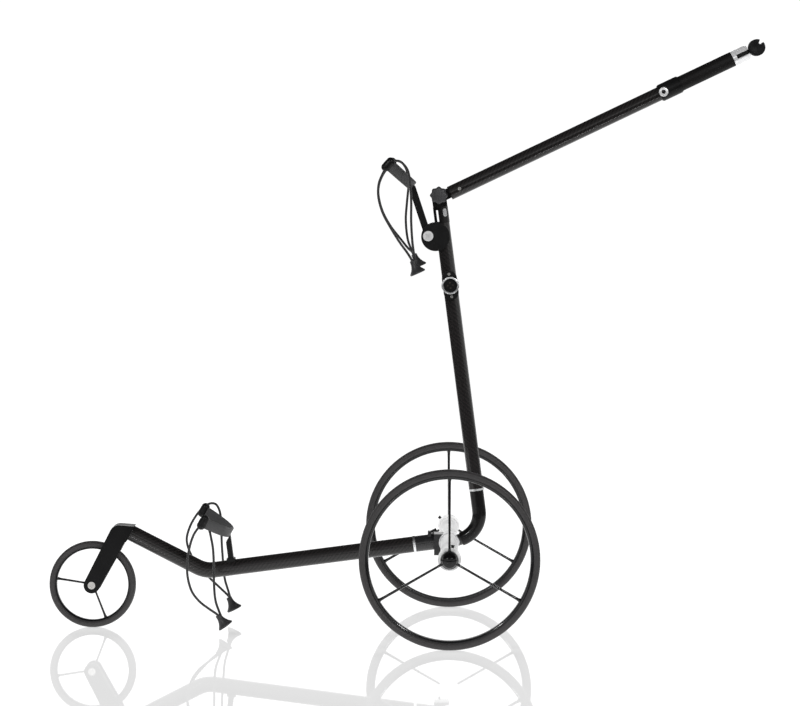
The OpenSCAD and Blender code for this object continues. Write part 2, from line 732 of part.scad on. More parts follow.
front_rim_out = front_wheel_d / 2 - 10;
module front_tyre() color("#2b2b2d") side(front_axle) tyre(front_rim_out, front_wheel_d / 2);
module front_rim() color("#1d1d1f") side(front_axle)
    rim(front_rim_out, front_rim_out - 3.5, 15, 11, 8, -12.5, 12.5, 51, spoke_t * 0.8);
module front_bearings() color("silver") side(front_axle) both()
    yring(8 - fit_gap, 4 + run_gap, -12.5, -6.5);

// ---------------------------------------------------------------- drawing

axle_tube();
drive_motors();
gearboxes();
shaft_bearings();
axle_clamp();
upright_elbow();
upper_ring();
upright_tube();
motor_cable();
socket_flange();
socket_ring();
socket_insert();
socket_contacts();
socket_screws();
cradle_bracket();
cradle_bolt();
hinge_fork();
hinge_insert();
hinge_nut();
star_knob();
handle_tongue();
handle_rivet();
handle_tube();
handle_sleeve();
accessory_boss();
grip_tube();
handle_end();
knob_arm();
speed_knob();
upper_strut();
upper_saddle();
upper_tips();
upper_near_cord();
upper_far_cord();
upper_grips();
front_knuckle();
lower_ring();
front_tube();
fork();
front_axle_bolt();
lower_strut();
lower_saddle();
lower_tips();
lower_near_cord();
lower_far_cord();
lower_grips();
fold_latch();
front_tyre();
front_rim();
front_bearings();
near_tyre();
near_rim();
near_hub();
near_cap();
near_pin();
far_tyre();
far_rim();
far_hub();
far_cap();
far_pin();
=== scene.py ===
# Looks of a three-wheel golf trolley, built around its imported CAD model.
# +X points to the rear, where the handle is, +Z is up and the near side is -Y. Metres throughout.
import math

import bmesh
import bpy
from mathutils import Matrix, Vector


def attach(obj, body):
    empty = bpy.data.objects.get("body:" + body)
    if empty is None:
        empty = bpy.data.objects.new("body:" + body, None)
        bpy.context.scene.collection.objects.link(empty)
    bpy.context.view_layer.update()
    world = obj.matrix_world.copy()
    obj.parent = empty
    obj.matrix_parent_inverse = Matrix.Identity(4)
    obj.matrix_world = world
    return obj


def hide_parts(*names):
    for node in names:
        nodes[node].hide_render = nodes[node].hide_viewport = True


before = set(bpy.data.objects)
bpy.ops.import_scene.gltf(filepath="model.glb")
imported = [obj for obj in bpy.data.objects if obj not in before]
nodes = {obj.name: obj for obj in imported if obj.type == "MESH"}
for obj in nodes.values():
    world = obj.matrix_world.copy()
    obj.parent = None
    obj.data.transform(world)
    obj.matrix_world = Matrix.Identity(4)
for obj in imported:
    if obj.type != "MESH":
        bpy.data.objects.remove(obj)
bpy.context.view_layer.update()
MM = 0.001

# ---------------------------------------------------------------- camera

camera_data = bpy.data.cameras.new("camera")
camera_data.lens = 155.4
camera_data.sensor_width = 36
camera = bpy.data.objects.new("camera", camera_data)
camera.location = (0.06194, -5.95313, 0.80487)
camera.rotation_euler = (math.pi / 2 - 0.055075, 0, 0.011924)
bpy.context.scene.collection.objects.link(camera)
bpy.context.scene.camera = camera

# ---------------------------------------------------------------- places in the side view


def direction(degrees):
    """Unit vector in the side view, at an angle above the rearward direction."""
    a = math.radians(degrees)
    return Vector((math.cos(a), 0, math.sin(a)))


AXLE = Vector((0.076, 0, 0.150))
FRONT_AXLE = Vector((-0.542, 0, 0.075))
TRACK = 0.560

UP_ANGLE = 97.3
UP = direction(UP_ANGLE)
FORWARD = direction(UP_ANGLE + 90)
ELBOW = AXLE + Vector((0.0564, 0, 0.0164))
PIVOT = ELBOW + 0.587 * UP

HANDLE_ANGLE = 25.4
HANDLE_DIR = direction(HANDLE_ANGLE)
HANDLE_ORIGIN = PIVOT - 0.005 * direction(HANDLE_ANGLE + 90)

FRONT_DIR = direction(187.4)
FRONT_TIP_DIR = direction(152.8)
FRONT_ORIGIN = AXLE + Vector((0, 0, 0.003))
BEND = FRONT_ORIGIN + 0.426 * FRONT_DIR

CRADLE_PIVOT = ELBOW + 0.520 * UP + 0.027 * FORWARD
UPPER_BASE = CRADLE_PIVOT + 0.0935 * direction(108.3)
LOWER_BASE = Vector((-0.305, 0, 0.168))


def frame_at(origin, z_axis, x_axis):
    """Matrix that puts local Z and X along two directions, at an origin."""
    z = Vector(z_axis).normalized()
    x = Vector(x_axis)
    x = (x - x.dot(z) * z).normalized()
    y = z.cross(x)
    turn = Matrix((x, y, z)).transposed().to_4x4()
    return Matrix.Translation(origin) @ turn


# ---------------------------------------------------------------- mesh makers


def new_mesh(name, points, faces, uvs=None):
    """Object with a smooth mesh; uvs holds one (u, v) in metres for each corner of each face."""
    mesh = bpy.data.meshes.new(name)
    mesh.from_pydata([tuple(p) for p in points], [], faces)
    if uvs:
        layer = mesh.uv_layers.new(name="weave")
        flat = [value for face in uvs for corner in face for value in corner]
        layer.data.foreach_set("uv", flat)
    mesh.validate()
    mesh.shade_smooth()
    mesh.set_sharp_from_angle(angle=math.radians(38))
    piece = bpy.data.objects.new(name, mesh)
    bpy.context.scene.collection.objects.link(piece)
    return piece


def grid_faces(rows, columns, wrap_rows=False, first=0):
    """Quads of a grid whose columns close on themselves."""
    faces = []
    for i in range(rows if wrap_rows else rows - 1):
        i2 = (i + 1) % rows
        for k in range(columns):
            k2 = (k + 1) % columns
            quad = [i * columns + k, i * columns + k2, i2 * columns + k2, i2 * columns + k]
            faces.append([first + n for n in quad])
    return faces


def grid_uvs(lengths, columns, around, wrap_rows=False, loop_length=0.0):
    """Corner UVs that go with grid_faces: u round the piece and v along it."""
    uvs = []
    rows = len(lengths)
    for i in range(rows if wrap_rows else rows - 1):
        v1 = lengths[i]
        v2 = lengths[i + 1] if i + 1 < rows else loop_length
        for k in range(columns):
            u1 = around * k / columns
            u2 = around * (k + 1) / columns
            uvs.append([(u1, v1), (u2, v1), (u2, v2), (u1, v2)])
    return uvs


def running_lengths(points):
    """Distance along a row of points, at each of them."""
    lengths = [0.0]
    for a, b in zip(points, points[1:]):
        lengths.append(lengths[-1] + (Vector(b) - Vector(a)).length)
    return lengths


def lathe(name, profile, place, segments=96, shape=None, ring=False):
    """Turned piece. The profile is (radius, height) in mm, heights along the place's local Z.
    shape(angle, radius) gives another radius; ring closes the profile on itself."""
    points = []
    for r, h in profile:
        for k in range(segments):
            a = 2 * math.pi * k / segments
            radius = shape(a, r) if shape else r
            local = Vector((radius * math.cos(a), radius * math.sin(a), h)) * MM
            points.append(place @ local)
    outline = [Vector((r, h, 0)) * MM for r, h in profile]
    lengths = running_lengths(outline)
    around = 2 * math.pi * max(r for r, h in profile) * MM
    loop_length = lengths[-1] + (outline[0] - outline[-1]).length
    faces = grid_faces(len(profile), segments, ring)
    uvs = grid_uvs(lengths, segments, around, ring, loop_length)
    if not ring:
        last = (len(profile) - 1) * segments
        faces.append([k for k in range(segments)][::-1])
        faces.append([last + k for k in range(segments)])
        for sign in (-1, 1):
            uvs.append([(0.01 * math.cos(sign * t), 0.01 * math.sin(sign * t))
                        for t in (2 * math.pi * k / segments for k in range(segments))])
    piece = new_mesh(name, points, faces, uvs)
    face_outward(piece)
    return piece


def face_outward(piece):
    """Turns a closed mesh's faces outward."""
    work = bmesh.new()
    work.from_mesh(piece.data)
    bmesh.ops.remove_doubles(work, verts=work.verts, dist=1e-6)
    bmesh.ops.recalc_face_normals(work, faces=work.faces)
    work.to_mesh(piece.data)
    work.free()


def carried_frames(points):
    """Across-vectors of a path, turned as little as possible from point to point."""
    frames = []
    across = None
    for i, point in enumerate(points):
        heading = (points[min(i + 1, len(points) - 1)] - points[max(i - 1, 0)]).normalized()
        if across is None:
            across = heading.cross(Vector((0, 1, 0.3)))
        across = (across - across.dot(heading) * heading).normalized()
        frames.append((across, heading.cross(across)))
    return frames


def sweep(name, points, radius, bore=0.0, sides=48):
    """Tube along a path, hollow if it has a bore. UVs are in metres, round and along it."""
    frames = carried_frames(points)
    lengths = running_lengths(points)

    def wall(r):
        made = []
        for point, (u, v) in zip(points, frames):
            for k in range(sides):
                a = 2 * math.pi * k / sides
                made.append(point + r * (math.cos(a) * u + math.sin(a) * v))
        return made

    made = wall(radius)
    faces = grid_faces(len(points), sides)
    uvs = grid_uvs(lengths, sides, 2 * math.pi * radius)
    if bore:
        inner = len(made)
        made += wall(bore)
        faces += [f[::-1] for f in grid_faces(len(points), sides, first=inner)]
        uvs += grid_uvs(lengths, sides, 2 * math.pi * radius)
        for row in (0, len(points) - 1):
            for k in range(sides):
                k2 = (k + 1) % sides
                a, b = row * sides + k, row * sides + k2
                faces.append([a, b, inner + b, inner + a])
                uvs.append([(0, 0), (0.001, 0), (0.001, 0.001), (0, 0.001)])
    else:
        last = (len(points) - 1) * sides
        faces.append([k for k in range(sides)][::-1])
        faces.append([last + k for k in range(sides)])
        uvs.append([(0, 0)] * sides)
        uvs.append([(0, 0)] * sides)
    piece = new_mesh(name, made, faces, uvs)
    face_outward(piece)
    return piece


def straight(start, end, step=0.02):
    """Points of a straight path."""
    count = max(2, round((end - start).length / step) + 1)
    return [start.lerp(end, i / (count - 1)) for i in range(count)]


def bent(start, corner, end, radius, steps=24):
    """Points of a path with one rounded corner."""
    to_start = (start - corner).normalized()
    to_end = (end - corner).normalized()
    half = to_start.angle(to_end) / 2
    reach = radius / math.tan(half)
    centre = corner + (to_start + to_end).normalized() * radius / math.sin(half)
    a = corner + reach * to_start - centre
    b = corner + reach * to_end - centre
    span = a.angle(b)
    arc = []
    for i in range(steps + 1):
        t = i / steps
        arc.append(centre + (math.sin((1 - t) * span) * a + math.sin(t * span) * b) / math.sin(span))
    return straight(start, arc[0])[:-1] + arc + straight(arc[-1], end)[1:]


def smooth_path(route, steps=6):
    """Smooth curve through a route's points, close enough together to be a path."""
    route = [Vector(p) * MM for p in route]
    made = []
    for i in range(len(route) - 1):
        before = route[i - 1] if i else 2 * route[0] - route[1]
        after = route[i + 2] if i + 2 < len(route) else 2 * route[-1] - route[-2]
        p1, p2 = route[i], route[i + 1]
        for s in range(steps):
            t = s / steps
            made.append(0.5 * (2 * p1 + (p2 - before) * t
                               + (2 * before - 5 * p1 + 4 * p2 - after) * t ** 2
                               + (3 * p1 - before - 3 * p2 + after) * t ** 3))
    made.append(route[-1])
    return made


# ---------------------------------------------------------------- materials


class Paint:
    """A procedural material, built up node by node."""

    def __init__(self, name, colour, roughness=0.5, metallic=0.0, **shader):
        self.material = bpy.data.materials.new(name)
        self.material.use_nodes = True
        self.tree = self.material.node_tree
        self.shader = self.tree.nodes["Principled BSDF"]
        self.set(self.shader, "Base Color", (*colour, 1))
        self.set(self.shader, "Roughness", roughness)
        self.set(self.shader, "Metallic", metallic)
        for key, value in shader.items():
            self.set(self.shader, key.replace("_", " ").title().replace("Ior", "IOR"), value)
        self.place = None

    def set(self, node, socket, value):
        node.inputs[socket].default_value = value

    def node(self, kind, **settings):
        made = self.tree.nodes.new("ShaderNode" + kind)
        for key, value in settings.items():
            setattr(made, key, value)
        return made

    def link(self, output, target):
        self.tree.links.new(output, target)

    def where(self, kind="Object"):
        if self.place is None:
            self.place = self.node("TexCoord")
        return self.place.outputs[kind]

    def maths(self, operation, *values):
        made = self.node("Math", operation=operation)
        for socket, value in zip(made.inputs, values):
            if isinstance(value, (int, float)):
                socket.default_value = value
            else:
                self.link(value, socket)
        return made.outputs[0]

    def noise(self, scale, detail=4.0, stretch=(1, 1, 1), kind="Object"):
        """Noise from 0 to 1 over the piece, at so many features a metre."""
        mapping = self.node("Mapping")
        mapping.inputs["Scale"].default_value = stretch
        self.link(self.where(kind), mapping.inputs["Vector"])
        made = self.node("TexNoise")
        made.inputs["Scale"].default_value = scale
        made.inputs["Detail"].default_value = detail
        self.link(mapping.outputs[0], made.inputs["Vector"])
        return made.outputs["Fac"]

    def spread(self, value, low, high, start=0.3, end=0.7):
        """Maps a texture's middle range to low..high."""
        made = self.node("MapRange", clamp=True)
        self.link(value, made.inputs["Value"])
        made.inputs["From Min"].default_value = start
        made.inputs["From Max"].default_value = end
        made.inputs["To Min"].default_value = low
        made.inputs["To Max"].default_value = high
        return made.outputs["Result"]

    def mix(self, factor, a, b):
        """Colour between a and b; each is a colour or an output."""
        made = self.node("Mix", data_type="RGBA")
        self.link(factor, made.inputs["Factor"])
        for socket, value in ((made.inputs[6], a), (made.inputs[7], b)):
            if isinstance(value, tuple):
                socket.default_value = (*value, 1)
            else:
                self.link(value, socket)
        return made.outputs[2]

    def to(self, socket, value):
        self.link(value, self.shader.inputs[socket])

    def bump(self, height, distance, strength=1.0):
        made = self.node("Bump")
        made.inputs["Distance"].default_value = distance
        made.inputs["Strength"].default_value = strength
        self.link(height, made.inputs["Height"])
        self.to("Normal", made.outputs["Normal"])


def tone(colour, factor):
    """A colour made lighter or darker."""
    return tuple(c * factor for c in colour)


def moulded(name, colour, roughness, grain=1400.0, depth=0.00006, **shader):
    """Moulded plastic: fine grain, patchy sheen, slight colour drift."""
    paint = Paint(name, colour, roughness, **shader)
    drift = paint.noise(35, 3)
    paint.to("Base Color", paint.mix(drift, tone(colour, 0.78), tone(colour, 1.25)))
    fine = paint.noise(grain, 3)
    worn = paint.maths("ADD", paint.spread(drift, -0.05, 0.07), paint.spread(fine, -0.05, 0.05))
    paint.to("Roughness", paint.maths("ADD", worn, roughness))
    paint.bump(fine, depth)
    return paint.material


def brushed(name, colour, roughness, stretch=(1, 0.04, 1), scale=1500.0, metallic=1.0):
    """Turned or brushed metal, with lines across the stretched axis."""
    paint = Paint(name, colour, roughness, metallic)
    lines = paint.noise(scale, 2, stretch)
    cloud = paint.noise(60, 3)
    paint.to("Base Color", paint.mix(cloud, tone(colour, 0.9), tone(colour, 1.04)))
    sheen = paint.maths("ADD", paint.spread(lines, -0.06, 0.08), paint.spread(cloud, -0.03, 0.04))
    paint.to("Roughness", paint.maths("ADD", sheen, roughness))
    paint.bump(lines, 0.00002, 0.6)
    return paint.material


def painted_alloy(name, colour, roughness, coat=0.15):
    """Gloss-coated alloy: faint orange peel, specks in the coat."""
    paint = Paint(name, colour, roughness, specular_ior_level=0.2, coat_weight=coat, coat_roughness=0.08)
    peel = paint.noise(420, 2)
    cloud = paint.noise(28, 3)
    paint.to("Base Color", paint.mix(cloud, tone(colour, 0.7), tone(colour, 1.3)))
    paint.to("Roughness", paint.spread(cloud, roughness - 0.05, roughness + 0.08))
    paint.bump(peel, 0.00004, 0.5)
    return paint.material


def carbon_weave(name, tow=0.002):
    """2x2 twill carbon under a clear coat; it follows the piece's own UVs, in metres. The warp tows are
    painted lighter and the weft tows darker, a painted sheen for the way each direction reflects light.
    """
    paint = Paint(name, (0.02, 0.02, 0.021), 0.4, coat_weight=0.5, coat_roughness=0.05,
                  specular_ior_level=0.2)
    parts = paint.node("SeparateXYZ")
    paint.link(paint.where("UV"), parts.inputs[0])
    across = paint.maths("DIVIDE", parts.outputs[0], tow)
    along = paint.maths("DIVIDE", parts.outputs[1], tow)
    step = paint.maths("ADD", paint.maths("FLOOR", across), paint.maths("FLOOR", along))
    warp_up = paint.maths("LESS_THAN", paint.maths("FLOORED_MODULO", step, 4.0), 1.5)
    crown_u = paint.maths("PINGPONG", across, 0.5)
    crown_v = paint.maths("PINGPONG", along, 0.5)
    flat = paint.maths("SUBTRACT", 1.0, warp_up)
    height = paint.maths("ADD", paint.maths("MULTIPLY", crown_u, warp_up),
                         paint.maths("MULTIPLY", crown_v, flat))
    fibres_u = paint.noise(1.0, 2, (9000, 500, 1), "UV")
    fibres_v = paint.noise(1.0, 2, (500, 9000, 1), "UV")
    # Painted sheen: warp tows get a lighter colour and weft tows a darker one, standing in for how each
    # direction of tow reflects light. The fibre streaks inside each are random tone.
    warp_painted_sheen = paint.mix(fibres_u, (0.007, 0.006, 0.006), (0.021, 0.018, 0.018))
    weft_painted_shade = paint.mix(fibres_v, (0.002, 0.0018, 0.0018), (0.006, 0.0055, 0.0055))
    paint.to("Base Color", paint.mix(warp_up, weft_painted_shade, warp_painted_sheen))
    paint.to("Roughness", paint.spread(warp_up, 0.42, 0.27, 0, 1))
    paint.bump(height, 0.00012, 0.25)
    return paint.material


def rubber(name, colour, roughness):
    """Tyre or grip rubber: soft bloom, grain, faint scuffs."""
    paint = Paint(name, colour, roughness, specular_ior_level=0.45)
    bloom = paint.noise(22, 4)
    grain = paint.noise(2200, 2)
    scuff = paint.noise(180, 5, (1, 0.2, 1))
    base = paint.mix(bloom, tone(colour, 0.8), tone(colour, 1.3))
    paint.to("Base Color", paint.mix(paint.spread(scuff, 0, 0.5, 0.55, 0.8), base, tone(colour, 1.7)))
    paint.to("Roughness", paint.maths("ADD", paint.spread(bloom, -0.05, 0.06), roughness))
    paint.bump(grain, 0.00005)
    return paint.material


def braided(name, colour):
    """Braided sleeve of an elastic cord; crossing yarns from the cord's own UVs, with painted shade in the
    grooves between them and a painted highlight on their crowns.
    """
    paint = Paint(name, colour, 0.62, sheen_weight=0.5, sheen_roughness=0.4)
    parts = paint.node("SeparateXYZ")
    paint.link(paint.where("UV"), parts.inputs[0])
    turns = paint.maths("MULTIPLY", parts.outputs[0], 8 / (math.pi * 0.0042))
    runs = paint.maths("MULTIPLY", parts.outputs[1], 8 / (math.pi * 0.0042) * 0.6)
    one = paint.maths("SINE", paint.maths("MULTIPLY", paint.maths("ADD", turns, runs), math.pi))
    two = paint.maths("SINE", paint.maths("MULTIPLY", paint.maths("SUBTRACT", turns, runs), math.pi))
    yarn = paint.maths("MAXIMUM", paint.maths("ABSOLUTE", one), paint.maths("ABSOLUTE", two))
    # Painted shade and highlight: the colour follows the yarn height, darker in the grooves between yarns and
    # lighter on their crowns.
    paint.to("Base Color", paint.mix(paint.spread(yarn, 0, 1, 0.7, 1), tone(colour, 0.35), tone(colour, 1.5)))
    paint.bump(yarn, 0.00025, 0.9)
    return paint.material


def ringed_knuckle(name, reach):
    """Black coated alloy whose rings round the axle, out to a reach, are bare silver."""
    paint = Paint(name, (0.01, 0.01, 0.011), 0.3, coat_weight=0.3, coat_roughness=0.1)
    parts = paint.node("SeparateXYZ")
    paint.link(paint.where("Object"), parts.inputs[0])
    x = paint.maths("SUBTRACT", parts.outputs[0], AXLE.x)
    z = paint.maths("SUBTRACT", parts.outputs[2], AXLE.z)
    away = paint.maths("SQRT", paint.maths("ADD", paint.maths("MULTIPLY", x, x),
                                           paint.maths("MULTIPLY", z, z)))
    bare = paint.maths("LESS_THAN", away, reach)
    cloud = paint.noise(60, 3)
    silver = paint.mix(cloud, (0.76, 0.76, 0.77), (0.88, 0.88, 0.89))
    black = paint.mix(cloud, (0.006, 0.006, 0.007), (0.014, 0.014, 0.015))
    paint.to("Base Color", paint.mix(bare, black, silver))
    paint.to("Metallic", bare)
    paint.to("Roughness", paint.spread(cloud, 0.24, 0.34))
    paint.bump(paint.noise(420, 2), 0.00003, 0.5)
    return paint.material


CARBON = carbon_weave("carbon_twill")
BLACK_ALLOY = painted_alloy("black_coated_alloy", (0.004, 0.0036, 0.0036), 0.26)
KNUCKLE = ringed_knuckle("ringed_knuckle", 0.0178)
FORK_BLACK = moulded("satin_black_alloy", (0.004, 0.004, 0.0042), 0.34, 1800, 0.00002,
                     specular_ior_level=0.15)
SILVER = brushed("turned_silver_alloy", (0.86, 0.87, 0.88), 0.3)
AXLE_SILVER = brushed("anodised_axle_alloy", (0.94, 0.94, 0.94), 0.5, metallic=0.2)
BRIGHT_BOLT = brushed("bright_bolt", (0.75, 0.75, 0.75), 0.35, metallic=0.5)
STEEL = brushed("bright_steel", (0.62, 0.61, 0.59), 0.28, (1, 1, 0.05))
CHROME = brushed("polished_chrome", (0.9, 0.9, 0.91), 0.16, (1, 0.3, 1), 300, metallic=0.5)
MOTOR = moulded("motor_case", (0.12, 0.12, 0.125), 0.4)
CABLE = moulded("cable_jacket", (0.02, 0.02, 0.02), 0.5)
BLACK_PLASTIC = moulded("black_plastic", (0.005, 0.005, 0.0052), 0.36, specular_ior_level=0.2)
DIAL_PLASTIC = moulded("dial_plastic", (0.006, 0.006, 0.0065), 0.45, specular_ior_level=0.15)
CRADLE = moulded("cradle_plastic", (0.036, 0.036, 0.037), 0.55, 1100, 0.00009)
KNOB = moulded("knob_plastic", (0.034, 0.034, 0.036), 0.46, 1300, 0.00008)
GRIP = moulded("grip_foam", (0.005, 0.0045, 0.0045), 0.5, 2600, 0.0001, specular_ior_level=0.2)
# The socket's contacts are painted near-black brown, a painted shade for their place deep in the socket.
CONTACT_PAINTED_SHADE = brushed("contact_painted_shade", (0.07, 0.06, 0.05), 0.4)
TYRE = rubber("tyre_rubber", (0.024, 0.0225, 0.023), 0.5)
RIM = painted_alloy("rim_composite", (0.004, 0.004, 0.0045), 0.26, 0.6)
CAP = painted_alloy("gloss_black_cap", (0.002, 0.002, 0.0022), 0.12, 0.3)
CORD = braided("elastic_cord", (0.012, 0.012, 0.0125))
PULL = rubber("pull_rubber", (0.02, 0.02, 0.021), 0.46)


def dress(piece, material):
    """Gives a piece its one material."""
    piece.data.materials.clear()
    piece.data.materials.append(material)


def stand_in(piece, material, slot, body, *replaced):
    """Finishes a piece made here: its material, body, and the CAD nodes it stands for. The slot argument is
    not used.
    """
    dress(piece, material)
    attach(piece, body)
    if replaced:
        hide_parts(*replaced)
    return piece


# ---------------------------------------------------------------- elastic cords

CORD_D = 0.0042
LOWER_NEAR = [
    (-313, -98.5, 28), (-321, -99, 36), (-335, -101, 46), (-350, -102, 58), (-363, -104, 76),
    (-369.5, -108.5, 102), (-369.5, -111.5, 128), (-365, -113, 154), (-358, -112.5, 174), (-348.5, -110, 188),
    (-344.5, -103.5, 197), (-341.5, -93, 199.5), (-337.5, -85, 193), (-334.5, -81, 180), (-331, -80, 164),
    (-327.5, -83, 144), (-326, -88, 116), (-325.5, -91, 84), (-323, -92, 58), (-317, -93, 40),
    (-312, -93.5, 28),
]
LOWER_FAR = [
    (-308, 98.5, 32), (-312, 99, 41), (-319, 101, 48), (-331, 103, 59), (-349, 105, 76),
    (-369, 106, 98), (-381.5, 106, 120), (-386.5, 105.5, 141), (-381.5, 104.5, 162), (-371.5, 104, 181),
    (-360.5, 102, 195), (-351, 98.5, 203), (-341, 94.5, 206.5), (-332.5, 92, 203.5), (-326.5, 91, 190),
    (-324.5, 91, 168), (-324, 92, 140), (-322, 92, 108), (-319, 92, 75), (-312, 93, 50),
    (-307, 93.5, 32),
]
UPPER_NEAR = [
    (17, -98.5, 630), (12, -99, 640), (4, -101, 653), (-9, -104, 671), (-25, -106, 697),
    (-37, -108, 720), (-44, -110, 745), (-44, -110, 767), (-38, -109, 784), (-30, -106, 798),
    (-22, -103, 806), (-13, -98, 808), (-4, -94, 804), (5, -92, 792), (9, -91, 772),
    (11, -91, 740), (11, -91, 705), (13, -91, 671), (16, -92, 648), (18, -93.5, 631),
]
UPPER_FAR = [
    (18, 98.5, 636), (13, 99, 647), (4, 101, 655), (-9, 103, 671), (-27, 106, 694),
    (-41, 108, 720), (-48, 110, 747), (-47, 110, 767), (-40, 109, 784), (-30, 106, 798),
    (-22, 103, 806), (-13, 98, 808), (-5, 94, 803), (2, 92, 790), (5, 91, 770),
    (2, 91, 735), (0, 91, 705), (3, 91, 673), (10, 92, 652), (17, 93.5, 637),
]


def bell(name, apex, lean):
    """Rubber pull at the foot of a cord: collar, flared skirt, rolled lip and hollow underside."""
    a = math.radians(lean)
    place = frame_at(Vector(apex) * MM, (math.sin(a), 0, -math.cos(a)), (0, 1, 0))
    skirt = []
    for i in range(13):
        t = i / 12
        rib = 0.25 * math.sin(3 * 2 * math.pi * t) ** 2 if 0.1 < t < 0.8 else 0
        skirt.append((5 + 8.3 * t ** 2.2 - rib, 1.2 + 20 * t))
    lip = [(13.6, 21.9), (13.5, 23.0), (12.8, 23.8), (11.8, 24.0), (10.9, 23.4)]
    hollow = [(9.4, 20.0), (6.5, 17.6), (0.01, 17.2)]
    collar = [(0.01, 0), (3.9, 0), (4.6, 0.3), (5.0, 0.9)]
    return lathe(name, collar + skirt + lip + hollow, place, 64)


for name, route, body, apex, lean in (
    ("lower_near", LOWER_NEAR, "front_frame", (-319, -96, 34), 36),
    ("lower_far", LOWER_FAR, "front_frame", (-312, 96, 40), 26),
    ("upper_near", UPPER_NEAR, "upper_cradle", (13, -96, 639), 24),
    ("upper_far", UPPER_FAR, "upper_cradle", (14, 96, 645), 24),
):
    grips = "upper_grips" if name.startswith("upper") else "lower_grips"
    pull = bell(name + "_pull", apex, lean)
    stand_in(pull, PULL, "pull_rubber", body, grips)
    path = smooth_path(route)
    line = sweep(name + "_elastic", path, CORD_D / 2, sides=20)
    stand_in(line, CORD, "elastic_cord", body, name + "_cord")

# ---------------------------------------------------------------- carbon tubes and elbow

# Distances along a tube from its origin, and outer and inner radii
UPRIGHT_SPAN = (0.0765, 0.539)
UPRIGHT_RADII = (0.0125, 0.0107)
HANDLE_SPAN = (0.0204, 0.436)
HANDLE_RADII = (0.012, 0.0102)
GRIP_SPAN = (0.437, 0.556)
GRIP_RADII = (0.013, 0.011)
FRONT_START = 0.0625
FRONT_TIP = 0.1445
FRONT_RADII = (0.01375, 0.01215)
FRONT_BEND_R = 0.050
ELBOW_RADII = (0.012, 0.010)
ELBOW_TOP = 0.073
ELBOW_BEND_R = 0.046
ELBOW_FOOT_ANGLE = 199

upright_line = straight(*(ELBOW + s * UP for s in UPRIGHT_SPAN))
upright = sweep("upright_carbon", upright_line, *UPRIGHT_RADII)
stand_in(upright, CARBON, "carbon", "rear_frame", "upright_tube")

handle_line = straight(*(HANDLE_ORIGIN + s * HANDLE_DIR for s in HANDLE_SPAN))
handle = sweep("handle_carbon", handle_line, *HANDLE_RADII)
stand_in(handle, CARBON, "carbon", "handle", "handle_tube")

front_line = bent(FRONT_ORIGIN + FRONT_START * FRONT_DIR, BEND,
                  BEND + FRONT_TIP * FRONT_TIP_DIR, FRONT_BEND_R)
front = sweep("front_carbon", front_line, *FRONT_RADII)
stand_in(front, CARBON, "carbon", "front_frame", "front_tube")

elbow_reach = ELBOW_BEND_R / math.tan(math.radians((ELBOW_FOOT_ANGLE - UP_ANGLE) / 2))
elbow_foot = ELBOW + elbow_reach * 1.0001 * direction(ELBOW_FOOT_ANGLE)
elbow_line = bent(elbow_foot, ELBOW, ELBOW + ELBOW_TOP * UP, ELBOW_BEND_R)
elbow = sweep("elbow_tube", elbow_line, *ELBOW_RADII)
stand_in(elbow, BLACK_ALLOY, "black_alloy", "rear_frame", "upright_elbow")

grip_line = straight(*(HANDLE_ORIGIN + s * HANDLE_DIR for s in GRIP_SPAN), step=0.004)
grip = sweep("grip_sleeve", grip_line, *GRIP_RADII)
stand_in(grip, GRIP, "grip_foam", "handle", "grip_tube")

# ---------------------------------------------------------------- wheels


def tyre_profile(inner, outer, half_width):
    """Section of a tyre with a bead, soft shoulders and three fine grooves."""
    waist = inner + 0.36 * (outer - inner)
    profile = [(inner - 0.4, -half_width + 3.2), (inner + 0.6, -half_width + 1.6)]
    steps = 60
    for i in range(steps + 1):
        a = math.pi * (i / steps - 0.5)
        h = half_width * math.copysign(abs(math.sin(a)) ** 0.72, math.sin(a))
        r = waist + (outer - waist) * math.cos(a) ** 0.72 if 0 < i < steps else waist
        groove = sum(0.55 * math.exp(-((h - g * half_width) / 0.5) ** 2) for g in (-0.38, 0, 0.38))
        profile.append((r - groove, h))
    profile += [(inner + 0.6, half_width - 1.6), (inner - 0.4, half_width - 3.2)]
    return profile


def rim_profile(inner, outer, half_width):
    """Section of a rim: hooked lips outside and a shallow crown inside."""
    w = half_width
    lip = [(outer + 0.3, -w), (outer + 0.7, -w - 0.4), (outer + 0.3, -w - 0.9), (outer - 0.8, -w - 0.9)]
    side = [(inner + 2.2, -w - 0.2), (inner + 0.9, -w + 0.9)]
    crown = [(inner + 0.35, -w * 0.6), (inner, -w * 0.25)]
    half = lip + side + crown
    return half + [(r, -h) for r, h in reversed(half)] + [(outer - 0.1, w - 0.3), (outer - 0.1, -w + 0.3)]


